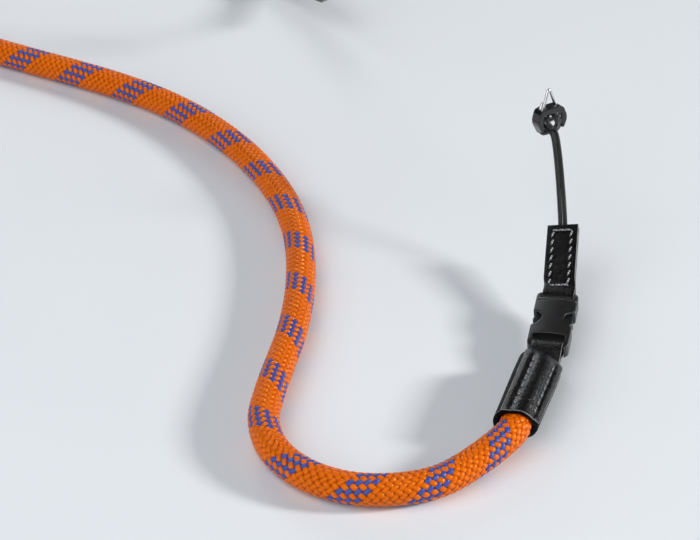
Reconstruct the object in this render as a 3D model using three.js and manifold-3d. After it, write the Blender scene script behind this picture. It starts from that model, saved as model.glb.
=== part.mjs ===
// A braided rope neck strap for a camera. The rope lies on a surface, and both of its ends rise to an
// eyelet: a leather sleeve, a side-release buckle, a leather tab, a thin cord loop, and a triangular
// split ring in a moulded guard. Millimetres, +Z up. The origin is the front eyelet.
import * as THREE from 'three';
import { mergeVertices } from 'three/addons/utils/BufferGeometryUtils.js';
import Module from 'manifold-3d';

const wasm = await Module();
wasm.setup();

// Clearance between neighbours, and the distance at which a solid's corners are welded
const gap = 0.3;
const weld = 1e-4;

// Rope
const ropeDiameter = 10;
const ropeSides = 12;
const ropeSteps = 54;

// Leather sleeve, measured from the housing's bar to its mouth
const leather = 1.3;
const sleeveLength = 41.2;
const neckWidth = 9.9;
const neckLength = 9;
const ropeSeat = 13.5;
const stitchOffset = 3.3;
const grooveWidth = 0.8;
const sleeveSquareness = 0.92;
const sleevePoints = 32;
const sleeveRoll = -0.38;
const sleeveSections = [
  { x: 7, halfWidth: 5.2, halfHeight: 1.9, groove: 0, skew: 0 },
  { x: 8.2, halfWidth: 6.6, halfHeight: 3, groove: 0, skew: 0 },
  { x: 9.8, halfWidth: 7.3, halfHeight: 4.6, groove: 0, skew: 0 },
  { x: 12.4, halfWidth: 7.4, halfHeight: 6, groove: 0.2, skew: 0 },
  { x: 16.5, halfWidth: 7.4, halfHeight: 6.6, groove: 0.5, skew: 0 },
  { x: 33, halfWidth: 7.2, halfHeight: 6.6, groove: 0.5, skew: 0.3 },
  { x: sleeveLength, halfWidth: 7.1, halfHeight: 6.4, groove: 0.2, skew: 0.8 },
];

// Side-release buckle, measured from the tips of its ears to the end of its frame
const buckleLength = 27.6;
const buckleHalfWidth = 6.8;
const frameHalfWidth = 6.6;
const buckleCrown = 3.3;
const buckleEdge = 2.5;
const latchBase = 5;
const latchSlotEnd = 4.1;
const latchSlotHalf = 5.35;
const latchBar = { x: 1.3, radius: 0.9 };
const prongHalfHeight = 1.6;
const housingBar = { x: 25.6, radius: 1.2 };
const housingCavity = { halfWidth: 5.6, halfHeight: 1.9, end: 19.8 };
const housingSlot = { start: 21.4, halfWidth: 5.3 };
const sideWindow = { x: 13.5, y: 8, radiusAlong: 3.8, radiusAcross: 4.5 };
const cornerRadius = 3;

// Leather tab, measured from the latch's bar to its sewn end
const tabLength = 31;
const tabWidth = 10.3;
const tabHalfThickness = 1.65;
const tabFold = 6.5;

// Thin cord loop
const cordDiameter = 1.45;
const cordSides = 8;
const cordSpread = 0.87;
const cordSteps = 46;
const hitchShift = -0.6;
const cordSeat = 0.4;

// Split ring, hung by its apex, and its guard
const ringWire = 1.1;
const ringPitch = 1.2;
const ringSteps = 42;
const ringHalfWidth = 4.9;
const ringApex = 2.9;
const ringBar = -9.2;
const ringSpan = { start: 0.2, end: 1.8, cross: 1, crossWidth: 0.36 };
const guardHalfThickness = 2.2;
const guardLip = 0.4;
const guardWindow = { halfWidth: 3.7, top: -6.2, bottom: -13 };
const guardPocket = { halfWidth: 3.3, top: -5.6, front: 1.2 };

// Where the pieces of an end lie, from its eyelet: x to the right, y away from the rope, z up
const ringAcross = [0.86, 0.51, 0];
const ringUp = [-0.07, 0.11, 0.99];
const tabTop = [4.6, -28.7, -33];
const buckleTop = [1.3, -58.7, -41.7];
const buckleEnd = [-4.8, -87.7, -45.2];
const mouth = [-16.2, -123.3, -43.9];
const tabRoll = 0.17;
const buckleRoll = 0.06;

// The rear end mirrors the front one, turned about Z, at the eyelet on the far side
const frontEnd = { name: 'front', eyelet: [0, 0, 0], mirror: 1, turn: 0 };
const rearEnd = { name: 'rear', eyelet: [-67, 106, 0], mirror: -1, turn: THREE.MathUtils.degToRad(201) };

// Distances from the housing's bar at which the rope's centre runs straight out of a sleeve
const ropeInSleeve = [ropeSeat, sleeveLength, sleeveLength + 4.5];

// The rope's centre where it lies, from the front sleeve round to the rear one
const ropeLying = [
  [-28, -139, -45.2],
  [-40, -148.5, -46],
  [-53.5, -152.5, -46],
  [-68, -151.5, -46],
  [-81, -144.5, -46],
  [-89.5, -133.5, -46],
  [-93, -119.5, -46],
  [-91.5, -104.5, -46],
  [-88.5, -89, -46],
  [-85.5, -73.5, -46],
  [-83.5, -55.5, -46],
  [-83, -35.5, -46],
  [-84.5, -15.5, -46],
  [-89, 4.5, -46],
  [-96.5, 23.5, -46],
  [-106.5, 41.5, -46],
  [-119, 58, -46],
  [-134, 73, -46],
  [-151.5, 85.5, -46],
  [-170.5, 96.5, -46],
  [-188.5, 106, -46],
  [-204.5, 115, -46],
  [-222.5, 128.5, -46],
  [-239.5, 146, -46],
  [-251.5, 169, -46],
  [-255, 196, -46],
  [-249, 223, -46],
  [-233, 245.5, -46],
  [-209.5, 258.5, -46],
  [-184, 260, -46],
  [-160.5, 249.5, -46],
  [-142, 232, -45.4],
];

// Half of the cord's hitch, from a leg to the middle of its collar: along the ring's bar, out and down
const hitch = [
  [-0.87, 0.1, 5.6],
  [-0.87, -0.6, 3.3],
  [-0.9, -1.7, 1.5],
  [-1, -2.25, 0],
  [-1.2, -1.55, -1.5],
  [-1.4, 0, -2.1],
  [-1.55, 1.6, -1.45],
  [-1.65, 2.25, 0.2],
  [-1.6, 2.15, 2.2],
  [-1.05, 1.95, 3.3],
  [0, 1.9, 3.6],
];

const finishes = {
  rope: new THREE.MeshStandardMaterial({ color: 0xd9691a, roughness: 0.75 }),
  leather: new THREE.MeshStandardMaterial({ color: 0x17181a, roughness: 0.45 }),
  buckle: new THREE.MeshStandardMaterial({ color: 0x1b1c1e, roughness: 0.55 }),
  cord: new THREE.MeshStandardMaterial({ color: 0x141416, roughness: 0.7 }),
  guard: new THREE.MeshStandardMaterial({ color: 0x101114, roughness: 0.25 }),
  ring: new THREE.MeshStandardMaterial({ color: 0xc8cacc, roughness: 0.25, metalness: 1 }),
};

const xAxis = new THREE.Vector3(1, 0, 0);
const yAxis = new THREE.Vector3(0, 1, 0);
const zAxis = new THREE.Vector3(0, 0, 1);

/** A smooth route that shares its steps evenly among its points, so that tight turns get their part. */
class EvenRoute extends THREE.CatmullRomCurve3 {
  getUtoTmapping(u) {
    return u;
  }
}

/** The centre line of a split ring: a flat outline run more than once, changing layers on the way. */
class SplitRingCurve extends THREE.Curve {
  constructor(outline) {
    super();
    this.outline = outline;
  }

  getPoint(t) {
    const turns = THREE.MathUtils.lerp(ringSpan.start, ringSpan.end, t);
    const flat = this.outline.getPointAt(turns % 1);
    const low = ringSpan.cross - ringSpan.crossWidth / 2;
    const layer = THREE.MathUtils.smoothstep(turns, low, low + ringSpan.crossWidth) - 0.5;
    return new THREE.Vector3(flat.x, flat.y, ringPitch * layer);
  }
}

/** Turns a closed geometry into a solid that can be joined and cut. */
function solid(geometry) {
  const bare = geometry.clone();
  bare.deleteAttribute('normal');
  bare.deleteAttribute('uv');
  const welded = mergeVertices(bare, weld);
  const mesh = new wasm.Mesh({
    numProp: 3,
    vertProperties: welded.attributes.position.array,
    triVerts: Uint32Array.from(welded.index.array),
  });
  return new wasm.Manifold(mesh);
}

/** Turns a solid back into a geometry. */
function geometryOf(body) {
  const { vertProperties, triVerts } = body.getMesh();
  const geometry = new THREE.BufferGeometry();
  geometry.setAttribute('position', new THREE.BufferAttribute(vertProperties, 3));
  geometry.setIndex(new THREE.BufferAttribute(triVerts, 1));
  geometry.computeVertexNormals();
  return geometry;
}

/** A shape through a list of [a, b] points. */
function shapeOf(points) {
  return new THREE.Shape(points.map(([a, b]) => new THREE.Vector2(a, b)));
}

/** A closed outline through corners that are rounded, starting on each side at a distance from them. */
function roundedOutline(corners, cut) {
  const outline = new THREE.Shape();
  corners.forEach(([a, b], i) => {
    const corner = new THREE.Vector2(a, b);
    const next = corners[(i + 1) % corners.length];
    const before = new THREE.Vector2(...corners.at(i - 1)).sub(corner).setLength(cut).add(corner);
    const after = new THREE.Vector2(...next).sub(corner).setLength(cut).add(corner);
    if (i === 0) {
      outline.moveTo(before.x, before.y);
    } else {
      outline.lineTo(before.x, before.y);
    }
    outline.quadraticCurveTo(corner.x, corner.y, after.x, after.y);
  });
  outline.closePath();
  return outline;
}

/** Extrudes an (x, y) shape from one height to another. */
function extrudeUp(shape, low, high) {
  const settings = { depth: high - low, bevelEnabled: false, curveSegments: 5 };
  return new THREE.ExtrudeGeometry(shape, settings).translate(0, 0, low);
}

/** Extrudes an (x, z) shape to both sides of the middle plane. */
function extrudeAcross(shape, halfWidth) {
  const geometry = extrudeUp(shape, -halfWidth, halfWidth);
  return geometry.rotateX(Math.PI / 2);
}

/** Extrudes a (y, z) shape along x. */
function extrudeAlong(shape, from, to) {
  const geometry = extrudeUp(shape, from, to);
  return geometry.applyMatrix4(new THREE.Matrix4().makeBasis(yAxis, zAxis, xAxis));
}

/** A box between two limits on each axis. */
function block([x0, x1], [y0, y1], [z0, z1]) {
  const geometry = new THREE.BoxGeometry(x1 - x0, y1 - y0, z1 - z0);
  return geometry.translate((x0 + x1) / 2, (y0 + y1) / 2, (z0 + z1) / 2);
}

/** A round bar across the strap. */
function crossBar(x, radius, halfWidth) {
  return new THREE.CylinderGeometry(radius, radius, 2 * halfWidth, 12).translate(x, 0, 0);
}

/** A tube along a curve, with flat ends. */
function tube(curve, diameter, sides, steps) {
  const corners = Array.from({ length: sides }, (_, i) => {
    const angle = (2 * Math.PI * i) / sides;
    return [(diameter / 2) * Math.cos(angle), (diameter / 2) * Math.sin(angle)];
  });
  return new THREE.ExtrudeGeometry(shapeOf(corners), { extrudePath: curve, steps, bevelEnabled: false });
}

/** Skins closed rings of points that follow each other along x, and closes both ends. */
function loft(rings) {
  const count = rings[0].length;
  const last = (rings.length - 1) * count;
  const points = rings.flat();
  const centres = [rings[0], rings.at(-1)].map((ring) => {
    const sum = ring.reduce((total, point) => total.add(point), new THREE.Vector3());
    return sum.divideScalar(count);
  });
  const start = points.push(...centres) - 2;
  const faces = [];
  for (let i = 0; i < count; i += 1) {
    const next = (i + 1) % count;
    faces.push(start, next, i);
    faces.push(start + 1, last + i, last + next);
    for (let row = 0; row < last; row += count) {
      faces.push(row + i, row + next, row + next + count);
      faces.push(row + i, row + next + count, row + i + count);
    }
  }
  return new THREE.BufferGeometry().setFromPoints(points).setIndex(faces);
}

/** A leather strip folded round a bar at the origin, its two layers closing as they run out along x. */
function foldGeometry(barRadius, reach, halfThickness, halfWidth) {
  const inner = barRadius + gap;
  const outer = inner + leather;
  const closed = 2 * outer;
  const outline = new THREE.Shape();
  outline.moveTo(reach, -halfThickness);
  outline.lineTo(reach, halfThickness);
  outline.lineTo(closed, halfThickness);
  outline.lineTo(0.3 * outer, outer);
  outline.absarc(0, 0, outer, Math.PI / 2, (3 * Math.PI) / 2);
  outline.lineTo(0.3 * outer, -outer);
  outline.lineTo(closed, -halfThickness);
  outline.closePath();
  const eye = new THREE.Path();
  eye.absarc(0, 0, inner, 0.9, 2 * Math.PI - 0.9);
  eye.lineTo(0.8 * closed, 0);
  eye.closePath();
  outline.holes.push(eye);
  return extrudeAcross(outline, halfWidth);
}

/** One ring of the sleeve's skin, squarer than an ellipse and dented along its two seams. */
function sleeveRing({ x, halfWidth, halfHeight, groove, skew }) {
  const bulge = (value) => Math.sign(value) * Math.abs(value) ** sleeveSquareness;
  return Array.from({ length: sleevePoints }, (_, i) => {
    const angle = (2 * Math.PI * i) / sleevePoints;
    const y = halfWidth * bulge(Math.cos(angle));
    const rise = bulge(Math.sin(angle));
    const dent = groove * Math.exp(-(((Math.abs(y) - stitchOffset) / grooveWidth) ** 2));
    return new THREE.Vector3(x + skew * rise, y, halfHeight * rise - Math.sign(rise) * dent);
  });
}

/** The leather sleeve: a neck folded round the housing's bar, and a skin round the rope's end. */
function sleeveGeometry(axes, foldAxes) {
  const skin = loft(sleeveSections.map(sleeveRing)).applyMatrix4(axes);
  const neck = foldGeometry(housingBar.radius, neckLength, leather + gap / 2, neckWidth / 2);
  const boreRadius = ropeDiameter / 2 + gap;
  const boreLength = sleeveLength - ropeSeat + 4;
  const bore = new THREE.CylinderGeometry(boreRadius, boreRadius, boreLength, 24);
  bore.rotateZ(Math.PI / 2).translate(ropeSeat - gap + boreLength / 2, 0, 0);
  const leatherBody = solid(skin).add(solid(neck.applyMatrix4(foldAxes)));
  return geometryOf(leatherBody.subtract(solid(bore.applyMatrix4(axes))));
}

/** The leather tab: a strip folded round the latch's bar, its two layers sewn together. */
function tabGeometry(axes, foldAxes) {
  const fold = foldGeometry(latchBar.radius, tabFold, tabHalfThickness, tabWidth / 2);
  const thick = tabHalfThickness;
  const strip = block([tabFold - 0.6, tabLength], [-tabWidth / 2, tabWidth / 2], [-thick, thick]);
  return geometryOf(solid(fold.applyMatrix4(foldAxes)).add(solid(strip.applyMatrix4(axes))));
}

/** The buckle's crowned section, seen along the strap. */
function buckleSection() {
  const crown = (y) => buckleCrown - (buckleCrown - buckleEdge) * (y / buckleHalfWidth) ** 2;
  const stations = [-0.93, -0.6, -0.2, 0.2, 0.6, 0.93].map((share) => share * buckleHalfWidth);
  const top = stations.map((y) => [-y, crown(y)]);
  const bottom = stations.map((y) => [y, -crown(y)]);
  const side = buckleEdge - 0.5;
  return shapeOf([
    [buckleHalfWidth, side],
    ...top,
    [-buckleHalfWidth, side],
    [-buckleHalfWidth, -side],
    ...bottom,
    [buckleHalfWidth, -side],
  ]);
}

/** One prong of the latch, seen from above, with a button that fills its side window. */
function prongOutline(side) {
  const outline = [
    [latchBase - 0.5, 2.2],
    [9, 2.8],
    [11, 3.4],
    [17, 3.2],
    [17.7, 3.8],
    [17.4, 4.7],
    [16.2, 5.3],
    [14.9, 6.2],
    [13.5, 6.5],
    [12.1, 6.2],
    [10.8, 5.3],
    [9.3, 4.9],
    [latchBase - 0.5, 4.9],
  ];
  return shapeOf(outline.map(([x, y]) => [x, side * y]));
}

/** The male half of the buckle: two ears and a bar beside the tab, a base and two prongs. */
function latchGeometry(axes) {
  const ears = shapeOf([
    [latchBase, -buckleHalfWidth],
    [latchBase, buckleHalfWidth],
    [2.8, buckleHalfWidth],
    [1.2, 6.5],
    [0.3, 6.1],
    [0, 5.7],
    [0, -5.7],
    [0.3, -6.1],
    [1.2, -6.5],
    [2.8, -buckleHalfWidth],
  ]);
  const flanks = shapeOf([
    [0, -1.4],
    [latchBase, -buckleCrown],
    [latchBase, buckleCrown],
    [0, 1.4],
  ]);
  const high = buckleCrown + 1;
  const slot = block([-1, latchSlotEnd], [-latchSlotHalf, latchSlotHalf], [-high, high]);
  let latch = solid(extrudeAlong(buckleSection(), 0, latchBase));
  latch = latch.intersect(solid(extrudeUp(ears, -buckleCrown, buckleCrown)));
  latch = latch.intersect(solid(extrudeAcross(flanks, buckleHalfWidth + 1)));
  latch = latch.subtract(solid(slot));
  latch = latch.add(solid(crossBar(latchBar.x, latchBar.radius, latchSlotHalf + 0.4)));
  [-1, 1].forEach((side) => {
    latch = latch.add(solid(extrudeUp(prongOutline(side), -prongHalfHeight, prongHalfHeight)));
  });
  return geometryOf(latch).applyMatrix4(axes);
}

/** The female half of the buckle: a hollow body with side windows, and a frame with a bar. */
function housingGeometry(axes) {
  const start = latchBase + gap;
  const outline = new THREE.Shape();
  const corner = buckleLength - cornerRadius;
  outline.moveTo(start, -buckleHalfWidth);
  outline.lineTo(corner, -frameHalfWidth);
  outline.absarc(corner, cornerRadius - frameHalfWidth, cornerRadius, -Math.PI / 2, 0);
  outline.absarc(corner, frameHalfWidth - cornerRadius, cornerRadius, 0, Math.PI / 2);
  outline.lineTo(start, buckleHalfWidth);
  outline.closePath();
  const flanks = shapeOf([
    [start, -buckleCrown],
    [housingSlot.start, -buckleCrown],
    [buckleLength, -1.9],
    [buckleLength, 1.9],
    [housingSlot.start, buckleCrown],
    [start, buckleCrown],
  ]);
  const high = buckleCrown + 1;
  const cavity = block(
    [start - 1, housingCavity.end],
    [-housingCavity.halfWidth, housingCavity.halfWidth],
    [-housingCavity.halfHeight, housingCavity.halfHeight],
  );
  const slot = block(
    [housingSlot.start, buckleLength + 1],
    [-housingSlot.halfWidth, housingSlot.halfWidth],
    [-high, high],
  );
  let housing = solid(extrudeAlong(buckleSection(), start, buckleLength));
  housing = housing.intersect(solid(extrudeUp(outline, -high, high)));
  housing = housing.intersect(solid(extrudeAcross(flanks, buckleHalfWidth + 1)));
  housing = housing.subtract(solid(cavity)).subtract(solid(slot));
  [-1, 1].forEach((side) => {
    const opening = new THREE.CylinderGeometry(1, 1, 2 * high, 28);
    opening.rotateX(Math.PI / 2).scale(sideWindow.radiusAlong, sideWindow.radiusAcross, 1);
    opening.translate(sideWindow.x, side * sideWindow.y, 0);
    housing = housing.subtract(solid(opening));
  });
  housing = housing.add(solid(crossBar(housingBar.x, housingBar.radius, housingSlot.halfWidth + 0.5)));
  return geometryOf(housing).applyMatrix4(axes);
}

/** The ring's centre line, a rounded triangle that hangs by its apex. */
function ringCurve() {
  const corners = [[0, ringApex], [-ringHalfWidth, ringBar], [ringHalfWidth, ringBar]];
  return new SplitRingCurve(roundedOutline(corners, 2.3));
}

/** The moulded guard: a rounded shield that the ring runs through, with a window at the ring's bar. */
function guardGeometry() {
  const corners = [[4.4, -4.2], [-4.4, -4.2], [-6, -8.8], [-3.6, -14.2], [3.6, -14.2], [6, -8.8]];
  const { halfWidth, top, bottom } = guardWindow;
  const { halfWidth: pocket, top: ceiling, front } = guardPocket;
  const frame = [[halfWidth, top], [-halfWidth, top], [-halfWidth, bottom], [halfWidth, bottom]];
  const thick = guardHalfThickness;
  const channel = tube(ringCurve(), ringWire + 2 * gap, 8, ringSteps);
  let guard = solid(extrudeUp(roundedOutline(corners, 1.6), -thick, thick));
  guard = guard.subtract(solid(extrudeUp(roundedOutline(frame, 1.5), -thick - 1, thick + 1)));
  guard = guard.subtract(solid(block([-8, 8], [bottom - 3, bottom + 0.8], [guardLip, thick + 1])));
  guard = guard.subtract(solid(block([-pocket, pocket], [top - 3, ceiling], [-thick - 1, front])));
  guard = guard.subtract(solid(channel));
  return geometryOf(guard);
}

/** A named mesh at its place. */
function piece(name, geometry, finish, origin) {
  const mesh = new THREE.Mesh(geometry, finish.clone());
  mesh.name = name;
  mesh.position.copy(origin);
  return mesh;
}

/** Axes of a piece: x along the strap, y across it, both leaned about x. */
function axesAlong(along, roll) {
  const across = new THREE.Vector3().crossVectors(zAxis, along).normalize().applyAxisAngle(along, roll);
  return new THREE.Matrix4().makeBasis(along, across, new THREE.Vector3().crossVectors(along, across));
}

/** Axes of a fold: y along the bar that it holds, x as near as can be to the way its leather runs. */
function axesOfFold(bar, along) {
  const out = along.clone().addScaledVector(bar, -along.dot(bar)).normalize();
  return new THREE.Matrix4().makeBasis(out, bar, new THREE.Vector3().crossVectors(out, bar));
}

/** Carries a direction from the front end's axes to those of an end. */
function toward(end, [x, y, z]) {
  return new THREE.Vector3(end.mirror * x, y, z).applyAxisAngle(zAxis, end.turn);
}

/** Carries a place, measured from an end's eyelet, to the part's axes. */
function at(end, point) {
  return toward(end, point).add(new THREE.Vector3(...end.eyelet));
}

/** The lines and axes that the pieces of an end are set by. */
function endLines(end) {
  const earTips = at(end, buckleTop);
  const buckleAlong = at(end, buckleEnd).sub(earTips).normalize();
  const buckleAxes = axesAlong(buckleAlong, end.mirror * buckleRoll);
  const tabOrigin = earTips.clone().addScaledVector(buckleAlong, latchBar.x);
  const tabAlong = at(end, tabTop).sub(tabOrigin).normalize();
  const tabAxes = axesAlong(tabAlong, -end.mirror * tabRoll);
  const sleeveOrigin = earTips.clone().addScaledVector(buckleAlong, housingBar.x);
  const sleeveAlong = at(end, mouth).sub(sleeveOrigin).normalize();
  const across = toward(end, ringAcross).multiplyScalar(end.mirror).normalize();
  const outward = new THREE.Vector3().crossVectors(across, toward(end, ringUp)).normalize();
  const ringAxes = new THREE.Matrix4().makeBasis(across, outward.clone().cross(across), outward);
  return { earTips, buckleAxes, tabOrigin, tabAlong, tabAxes, sleeveOrigin, sleeveAlong, ringAxes };
}

/** The thin cord's route: up from the tab, hitched round the ring's bar, and down beside itself. */
function cordRoute(end, { tabOrigin, tabAlong, tabAxes, ringAxes }) {
  const across = new THREE.Vector3().setFromMatrixColumn(ringAxes, 0);
  const tabAcross = new THREE.Vector3().setFromMatrixColumn(tabAxes, 1);
  const bar = new THREE.Vector3(end.mirror * hitchShift, ringBar, 0).applyMatrix4(ringAxes);
  bar.add(new THREE.Vector3(...end.eyelet));
  const tabEnd = tabOrigin.clone().addScaledVector(tabAlong, tabLength);
  const down = tabEnd.clone().sub(bar);
  down.addScaledVector(across, -down.dot(across)).normalize();
  const out = new THREE.Vector3().crossVectors(down, across);
  const leg = (side) => [gap, 2.6].map((rise) => {
    const point = tabEnd.clone().addScaledVector(tabAlong, rise);
    return point.addScaledVector(tabAcross, end.mirror * cordSeat - side * cordSpread);
  });
  const turn = (side) => hitch.map(([along, outward, downward]) => {
    const point = bar.clone().addScaledVector(across, -side * along);
    return point.addScaledVector(out, outward).addScaledVector(down, downward);
  });
  const left = [...leg(-1), ...turn(-1)];
  const right = [...leg(1), ...turn(1)].reverse();
  return new EvenRoute([...left, ...right.slice(1)], false, 'centripetal');
}

/** All seven pieces of one end. */
function strapEnd(end) {
  const lines = endLines(end);
  const { earTips, buckleAxes, tabOrigin, tabAlong, tabAxes, sleeveOrigin, sleeveAlong, ringAxes } = lines;
  const bar = new THREE.Vector3().setFromMatrixColumn(buckleAxes, 1);
  const sleeveAxes = axesAlong(sleeveAlong, end.mirror * sleeveRoll);
  const sleeve = sleeveGeometry(sleeveAxes, axesOfFold(bar, sleeveAlong));
  const tab = tabGeometry(tabAxes, axesOfFold(bar, tabAlong));
  const cord = tube(cordRoute(end, lines), cordDiameter, cordSides, cordSteps);
  const guard = guardGeometry().applyMatrix4(ringAxes);
  const ring = tube(ringCurve(), ringWire, 6, ringSteps).applyMatrix4(ringAxes);
  const eyelet = new THREE.Vector3(...end.eyelet);
  return [
    piece(`${end.name}_sleeve`, sleeve, finishes.leather, sleeveOrigin),
    piece(`${end.name}_buckle_housing`, housingGeometry(buckleAxes), finishes.buckle, earTips),
    piece(`${end.name}_buckle_latch`, latchGeometry(buckleAxes), finishes.buckle, earTips),
    piece(`${end.name}_tab`, tab, finishes.leather, tabOrigin),
    piece(`${end.name}_loop_cord`, cord, finishes.cord, new THREE.Vector3()),
    piece(`${end.name}_ring_guard`, guard, finishes.guard, eyelet),
    piece(`${end.name}_split_ring`, ring, finishes.ring, eyelet),
  ];
}

/** The rope, from its seat in the front sleeve to its seat in the rear one. */
function ropeMesh() {
  const seat = (end) => {
    const { sleeveOrigin, sleeveAlong } = endLines(end);
    return ropeInSleeve.map((reach) => sleeveOrigin.clone().addScaledVector(sleeveAlong, reach));
  };
  const lying = ropeLying.map((point) => new THREE.Vector3(...point));
  const route = [...seat(frontEnd), ...lying, ...seat(rearEnd).reverse()];
  const curve = new THREE.CatmullRomCurve3(route, false, 'centripetal');
  return piece('rope', tube(curve, ropeDiameter, ropeSides, ropeSteps), finishes.rope, new THREE.Vector3());
}

const strap = new THREE.Group();
strap.add(ropeMesh(), ...strapEnd(frontEnd), ...strapEnd(rearEnd));

export default strap;
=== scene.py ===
"""Dresses the braided camera strap: rope, leather ends, buckles, loops and rings, in metres."""
import logging
import math
from dataclasses import dataclass, field
from enum import Enum, IntEnum
from typing import Callable

import bmesh
import bpy
import numpy as np
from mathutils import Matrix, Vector


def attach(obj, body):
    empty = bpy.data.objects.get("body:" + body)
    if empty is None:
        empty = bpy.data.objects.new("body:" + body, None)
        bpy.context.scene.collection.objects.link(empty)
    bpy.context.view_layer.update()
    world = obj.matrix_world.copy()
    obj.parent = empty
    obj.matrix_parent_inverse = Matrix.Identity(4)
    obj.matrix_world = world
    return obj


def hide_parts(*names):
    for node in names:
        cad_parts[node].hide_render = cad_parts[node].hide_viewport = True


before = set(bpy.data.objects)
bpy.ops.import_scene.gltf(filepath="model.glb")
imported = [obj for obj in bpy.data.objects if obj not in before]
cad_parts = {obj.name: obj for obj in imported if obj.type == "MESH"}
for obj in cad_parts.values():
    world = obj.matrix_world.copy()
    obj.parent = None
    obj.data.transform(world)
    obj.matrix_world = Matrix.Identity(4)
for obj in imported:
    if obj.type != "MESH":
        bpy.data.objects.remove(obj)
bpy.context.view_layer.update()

log = logging.getLogger("strap")

Array = np.ndarray
Pair = tuple[float, float]
Triple = tuple[float, float, float]
Colour = tuple[float, float, float, float]
Inputs = dict[str | int, object]
Operator = Callable[["Value", "Value | float"], "Value"]
Material = bpy.types.Material
Object = bpy.types.Object

GAP = 0.0003
SHARP_ANGLE = math.radians(38)
UP = np.array([0.0, 0.0, 1.0])
FRONT_EYELET = (0.0, 0.0, 0.0)
REAR_EYELET = (-0.067, 0.106, 0.0)
REAR_TURN = math.radians(201)


class Hand(Enum):
    """The way a strand winds round its rope."""

    LEFT = -1
    RIGHT = 1


class Skin(IntEnum):
    """Materials of a leather piece, by their number in its mesh."""

    FACE = 0
    EDGE = 1
    FLANK = 2


class Slot(Enum):
    """Material slots of the part."""

    ROPE = "rope"
    LEATHER = "leather"
    BUCKLE = "buckle"
    CORD = "cord"
    GUARD = "guard"
    RING = "ring"


def unit(vectors: Array) -> Array:
    """Vectors at length one."""
    return vectors / np.linalg.norm(vectors, axis=-1, keepdims=True)


def turned(vector: Array, axis: Array, angle: float) -> Array:
    """Turns a vector about an axis.

    Args:
        vector: The vector to turn.
        axis: A unit vector.
        angle: Radians, right-handed about the axis.

    Returns:
        The turned vector.
    """
    side = np.cross(axis, vector)
    along = axis * np.dot(axis, vector)
    return along + (vector - along) * math.cos(angle) + side * math.sin(angle)


def smoothstep(low: float, high: float, value: Array) -> Array:
    """A soft step from 0 at low to 1 at high."""
    share = np.clip((value - low) / (high - low), 0, 1)
    return share * share * (3 - 2 * share)


def reach_along(line: Array) -> Array:
    """The distance of each place from the start of its line."""
    return np.concatenate([[0], np.cumsum(np.linalg.norm(np.diff(line, axis=0), axis=1))])


def cubic(t: Array, start: Array, end: Array, leave: Array, arrive: Array) -> Array:
    """A cubic curve between two places.

    Args:
        t: Shares of the way, from 0 to 1.
        start: The first place.
        end: The last place.
        leave: The curve's direction at the first place.
        arrive: Its direction at the last one.

    Returns:
        The curve at each share.
    """
    hold = (2 * t**3 - 3 * t**2 + 1) * start + (3 * t**2 - 2 * t**3) * end
    return hold + (t**3 - 2 * t**2 + t) * leave + (t**3 - t**2) * arrive


def smooth_columns(table: Array, places: Array) -> Array:
    """Reads a table between its rows on smooth curves that do not overshoot.

    Args:
        table: Rows of numbers, with the place in the first column.
        places: Where to read it.

    Returns:
        One row for each place, without the first column.
    """
    x, y = table[:, 0], table[:, 1:]
    step = np.diff(x)[:, None]
    slope = np.diff(y, axis=0) / step
    tangent = np.zeros_like(y)
    same_way = slope[:-1] * slope[1:] > 0
    total = np.where(same_way, slope[:-1] + slope[1:], 1)
    tangent[1:-1] = np.where(same_way, 2 * slope[:-1] * slope[1:] / total, 0)
    tangent[0], tangent[-1] = slope[0], slope[-1]
    row = np.clip(np.searchsorted(x, places) - 1, 0, len(x) - 2)
    t = ((places - x[row]) / step[row, 0])[:, None]
    leave, arrive = tangent[row] * step[row], tangent[row + 1] * step[row]
    return cubic(t, y[row], y[row + 1], leave, arrive)


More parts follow.
